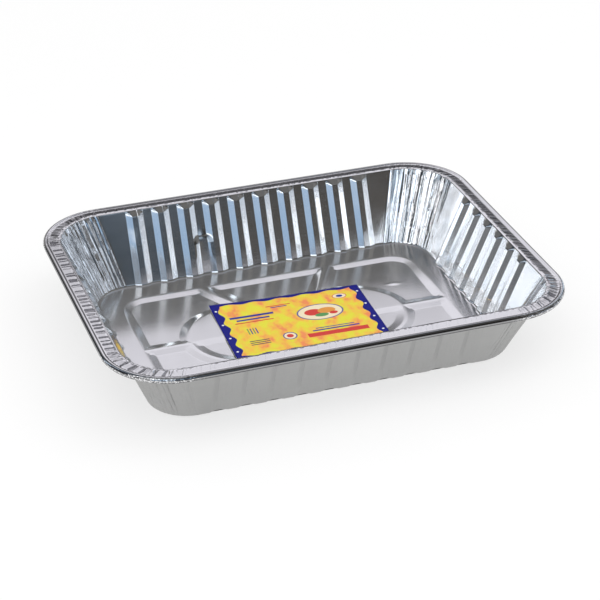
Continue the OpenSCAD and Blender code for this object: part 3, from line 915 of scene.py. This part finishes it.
def motif(group, x, y, half_x, half_y):
    """The mask of one round or bar, placed in millimetres from the card's middle."""
    return n.add("ShaderNodeGroup", {"Sheet": sheet, "X": x * MM, "Y": y * MM, "Half width": half_x * MM,
                                     "Half height": half_y * MM}, node_tree=group).outputs["Mask"]


mottle = n.add("ShaderNodeValToRGB", {0: n.noise(n.stretched(sheet, 1, 0.7, 1), 95, 3, 0.55)})
stops = mottle.color_ramp.elements
stops[0].position, stops[0].color = 0.36, (0.84, 0.27, 0.10, 1)
stops[1].position, stops[1].color = 0.60, (0.76, 0.70, 0.05, 1)
stops.new(0.47).color = (0.86, 0.52, 0.07, 1)
colour = mottle.outputs[0]

for x, y, half_x, half_y, shade in (
        (-30, 17, 16, 1.3, NAVY), (-30, 12.5, 12, 1.0, NAVY), (-30, 8.8, 14, 0.6, RED), (22, -22, 22, 2.6, RED),
        (22, -16.6, 17, 0.8, NAVY), (22, -13.8, 14, 0.5, NAVY), (-34, -20, 7, 0.5, DARK),
        (-34, -17.6, 7, 0.5, DARK), (-34, -22.4, 7, 0.5, DARK), (-38, -4, 0.4, 4, GREEN), (-36, -4, 0.4, 4, NAVY),
        (-34, -4, 0.4, 4, GREEN), (-32, -4, 0.4, 4, NAVY), (-8, 26, 9, 0.5, RED), (-8, 24, 6, 0.5, NAVY)):
    colour = n.blend(motif(bar, x, y, half_x, half_y), colour, shade)
for x, y, half_x, half_y, shade in (
        (18, 8, 17, 11, NAVY), (18, 8, 16, 10.2, CREAM), (13, 8.5, 6.5, 4.4, RED), (23, 9, 6.5, 4.0, ORANGE),
        (18, 3.6, 5, 2.4, GREEN), (27, 4.6, 3, 2, RED), (-12, -18, 5, 5, NAVY), (-12, -18, 4.2, 4.2, CREAM),
        (-12, -18, 2.4, 2.4, RED), (38, 26, 5.4, 3.6, RED), (38, 26, 4.8, 3.1, CREAM), (38, 26, 2.4, 1.7, NAVY)):
    colour = n.blend(motif(disc, x, y, half_x, half_y), colour, shade)


def waved_edge(across, along, period, swing, edge):
    """1 beyond an edge that waves: the way across, plus a sine of the way along times the swing, is past it."""
    wave = n.times(n.calc("SINE", n.times(along, 2 * math.pi / period)), swing)
    return n.calc("GREATER_THAN", n.plus(n.calc("ABSOLUTE", across), wave), edge)


blue_frame = n.most(waved_edge(sheet_x, sheet_y, 0.0153, 0.0014, 0.0500),
                    waved_edge(sheet_y, sheet_x, 0.0185, 0.0008, 0.0352))
colour = n.blend(blue_frame, colour, FRAME_BLUE)
for x in (-52.6, 52.6):
    for y in (-28, -9, 10, 29):
        colour = n.blend(motif(disc, x, y, 0.9, 0.9), colour, SILVER)

gloss = n.between(n.noise(sheet, 700), 0.3, 0.7, 0.30, 0.42)
grain = n.bump(n.noise(sheet, 1500), 0.25, 0.00005)
shader = n.add("ShaderNodeBsdfPrincipled", {"Base Color": colour, "Roughness": gloss, "Normal": grain.outputs[0],
                                            "Specular IOR Level": 0.15, "Coat Weight": 0.03, "Coat Roughness": 0.15})
n.add("ShaderNodeOutputMaterial", {0: shader.outputs[0]})

# %% The bare back of the card
n = new_material("bare back of the card", card.data)
fibres = n.noise(n.add("ShaderNodeTexCoord").outputs["Object"], 1200, 3)
paper = n.blend(fibres, (0.60, 0.58, 0.54), (0.72, 0.70, 0.66))
shader = n.add("ShaderNodeBsdfPrincipled", {"Base Color": paper, "Roughness": 0.8})
n.add("ShaderNodeOutputMaterial", {0: shader.outputs[0]})
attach(card, "root")
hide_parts("label_card")
print("printed_card stands for the CAD node label_card")

# %% [markdown]
# ## The floor, the light and the camera
#
# Bright metal shows little of itself and much of the room. So the studio has a pale floor, a white world, two
# large soft lamps, and a painted tent of light, dark and blue stripes round the table that only the metal sees.
# The camera stands where the photograph's camera stood, found by fitting the rim.

# %% Floor and world
FLOOR_HALF, FLOOR_Z = 6, -1e-4
floor = add_mesh("studio_floor", np.array([(sx * FLOOR_HALF, sy * FLOOR_HALF, FLOOR_Z) for sx, sy in QUARTERS]),
                 np.array([[2, 3, 0, 1]]))
n = new_material("pale floor", floor.data)
cloudy = n.noise(n.add("ShaderNodeTexCoord").outputs["Object"], 30)
dull = n.add("ShaderNodeBsdfPrincipled", {"Base Color": n.blend(cloudy, (0.93, 0.93, 0.93), (0.95, 0.95, 0.95)),
                                          "Roughness": 0.9, "Specular IOR Level": 0.0})
white = n.add("ShaderNodeEmission", {"Color": (1, 1, 1, 1), "Strength": 1.0})
both = n.add("ShaderNodeMixShader", {0: n.times(n.seen_directly(), 0.66), 1: dull.outputs[0], 2: white.outputs[0]})
n.add("ShaderNodeOutputMaterial", {0: both.outputs[0]})

scene.world = bpy.data.worlds.new("studio")
scene.world.use_nodes = True
scene.world.node_tree.nodes.clear()
n = Nodes(scene.world.node_tree)
room, white = (n.add("ShaderNodeBackground", {"Color": (1, 1, 1, 1), "Strength": s}).outputs[0] for s in (0.8, 1.0))
both = n.add("ShaderNodeMixShader", {0: n.seen_directly(), 1: room, 2: white})
n.add("ShaderNodeOutputWorld", {0: both.outputs[0]})
print("floor and world made")

# %% Lamps
def direction(azimuth, elevation):
    """Unit vector towards an azimuth (0 is the front, -Y; 90 is the right, +X) and an elevation, in degrees."""
    a, e = np.radians(azimuth), np.radians(elevation)
    return np.stack([np.sin(a) * np.cos(e), -np.cos(a) * np.cos(e), np.sin(e)], -1)


def soft_lamp(name, azimuth, elevation, power, distance=3.0, size=2.4):
    """A large square lamp that looks at the tray, and that neither the camera nor the metal sees."""
    light = bpy.data.lights.new(name, "AREA")
    light.shape, light.size, light.energy = "SQUARE", size, power
    lamp = add_object(name, light)
    lamp.location = direction(azimuth, elevation) * distance
    lamp.rotation_euler = Vector(direction(azimuth, elevation)).to_track_quat("Z", "Y").to_euler()
    lamp.visible_camera = lamp.visible_glossy = False


soft_lamp("key lamp", -40, 52, 24)
soft_lamp("fill lamp", 60, 58, 18)
print("lamps: key and fill")

# %% [markdown]
# ## The tent of light
#
# The tent is part of a sphere. It is given as upright lines, each with a tone at some elevations, and the
# colour between them runs in straight lines. A stripe is one line repeated at its two azimuths.

# %% The tent's lines
LEVELS = [-2, 5, 9, 14, 18, 22, 25, 28, 31, 38, 45, 51, 57, 63, 70, 80, 90]
LOW_LEVELS = 5
NIGHT, DUSK, SKY = (.8, .95, 1.15), (.31, .45, .64), (.88, .97, 1.1)


def tones(values, tint):
    """The colours of one upright line of the tent: a grey for each level, times a tint."""
    return np.array(values)[:, None] * np.array(tint)


def lowered(profile, value, tint):
    """A copy of a line of the tent with another tone near the table, up to 18 degrees."""
    return np.concatenate([tones([value] * LOW_LEVELS, tint), profile[LOW_LEVELS:]])


behind = tones([.10, .10, .10, .08, .06, .22, .32, .52, .85, .84, .80, .74, .72, .5, .2, .15, .15], (.99, .97, 1.04))
right = tones([.50, .50, .36, .14, .14, .15, .17, .19, .20, .22, .24, .20, .17, .15, .15, .15, .14], (1.0, .98, .93))
brown = tones([.11, .11, .11, .105, .09, .05, .03, .02, .02, .02, .10, .16, .16, .12, .13, .15, .15], (1.0, .93, .86))
grey = tones([.50, .50, .40, .20, .14, .14, .14, .14, .15, .15, .18, .20, .18, .14, .14, .15, .15], (1.0, .98, .96))
navy = tones([.09, .09, .09, .085, .08, .12, .36, .66, .70, .55, .10, .06, .06, .08, .14, .15, .15], (.68, .84, 1.03))
dark = tones([.03, .03, .03, .03, .04, .05, .05, .05, .05, .05, .05, .05, .06, .08, .10, .12, .12], NIGHT)
pale = tones([1.1, 1.1, 1.0, .9, .9, 1.1, 1.5, 1.8, 2.0, 2.0, 2.0, 2.0, 1.8, 1.2, .5, .3, .2], (1.0, 1.0, 1.02))
cool = tones([.9, .9, .9, .8, .8, .8, .8, .8, .8, .8, .8, .7, .6, .5, .3, .2, .15], (.80, .92, 1.08))
blue = tones([0, 0, 0, 0, 0, .9, 1.5, 1.8, 1.9, 1.9, 1.8, 1.6, 1.3, .9, .5, .4, .3], (.93, 1.0, 1.07))
blue, hazy = lowered(blue, 1.0, DUSK), lowered(cool, 1.0, DUSK)
black, unlit = lowered(grey, .04, NIGHT), lowered(right, .04, NIGHT)
stripes = [(-180, -173, behind), (-169, -154, grey), (-151, -134, dark), (-130, -121, cool), (-118, -110, dark),
           (-107, -98, lowered(dark, .20, (.95, .98, 1.02))), (-95, -84, dark), (-80, -73, pale), (-70, -64, dark),
           (-61, -50, pale), (-46, -39, blue), (-35, -28, hazy), (-25, -17, blue), (-13, 12, navy), (16, 31, brown),
           (34, 39, lowered(grey, 1.1, SKY)), (42, 48, black), (51, 69, lowered(grey, .7, SKY)),
           (72, 80, black), (83, 89, lowered(grey, 1.2, SKY)),
           (92, 99, unlit), (102, 109, lowered(right, 1.1, SKY)),
           (112, 118, unlit), (121, 130, cool), (134, 134, dark), (140, 180, behind)]
around = {azimuth: profile for start, end, profile in stripes for azimuth in (start, end)}
print("the tent has", len(stripes), "stripes")

# %% The tent
TENT_ROUND, TENT_UP, TENT_RADIUS = 241, 49, 1.9


def light_tent(name, azimuths, elevations, colours):
    """The painted part of a sphere round the tray; the colours are given where lines and elevations meet."""
    az = np.linspace(azimuths[0], azimuths[-1], TENT_ROUND)
    el = np.linspace(elevations[0], elevations[-1], TENT_UP)
    table = np.stack([[np.interp(az, azimuths, row[:, k]) for row in colours] for k in range(3)], 2)
    table = np.stack([[np.interp(el, elevations, column) for column in table[:, :, k].T] for k in range(3)], 2)
    points = direction(*np.meshgrid(az, el)).reshape(-1, 3) * TENT_RADIUS
    tent = add_mesh(name, points, grid_faces(TENT_UP, TENT_ROUND))
    rgba = np.concatenate([table.transpose(1, 0, 2).reshape(-1, 3), np.ones((len(points), 1))], 1)
    paint = tent.data.attributes.new("paint", "FLOAT_COLOR", "POINT")
    paint.data.foreach_set("color", rgba.astype(np.float32).ravel())
    n = new_material(name, tent.data)
    glow = n.add("ShaderNodeEmission", {"Color": n.attribute("paint", "Color"), "Strength": 1.0})
    n.add("ShaderNodeOutputMaterial", {0: glow.outputs[0]})
    return tent


colours = np.stack(list(around.values()), 1)
colours[-2], colours[-1] = 0.2, 0.6
tent = light_tent("light tent", list(around), LEVELS, colours)
tent.visible_camera = tent.visible_diffuse = tent.visible_shadow = tent.visible_transmission = False
print("tent:", TENT_ROUND, "by", TENT_UP, "points")

# %% Camera
PHOTO_WIDTH, SENSOR = 600, 36
azimuth, elevation, roll = -19.04, 29.02, math.radians(-0.434)
focal_px, distance = 1996.2, 1399.6
aside, above = -1.16, -19.181
stack_height = 1.5
back_axis = direction(azimuth, elevation)
right_axis = direction(azimuth + 90, 0)
up_axis = np.cross(back_axis, right_axis)
rolled_right = right_axis * math.cos(roll) + up_axis * math.sin(roll)
rolled_up = -right_axis * math.sin(roll) + up_axis * math.cos(roll)
spot = back_axis * distance - rolled_right * aside - rolled_up * above - np.array([0, 0, stack_height])
camera_data = bpy.data.cameras.new("camera")
camera_data.sensor_fit, camera_data.sensor_width = "HORIZONTAL", SENSOR
camera_data.lens = focal_px / PHOTO_WIDTH * SENSOR
camera_data.clip_end = 30
camera = add_object("camera", camera_data)
turn_matrix = np.stack([rolled_right, rolled_up, back_axis], 1)
camera.matrix_world = Matrix.Translation(Vector(spot * MM)) @ Matrix(turn_matrix.tolist()).to_4x4()
scene.camera = camera
print("camera at", np.round(spot), "mm, lens", round(camera_data.lens, 1))

bpy.context.view_layer.update()
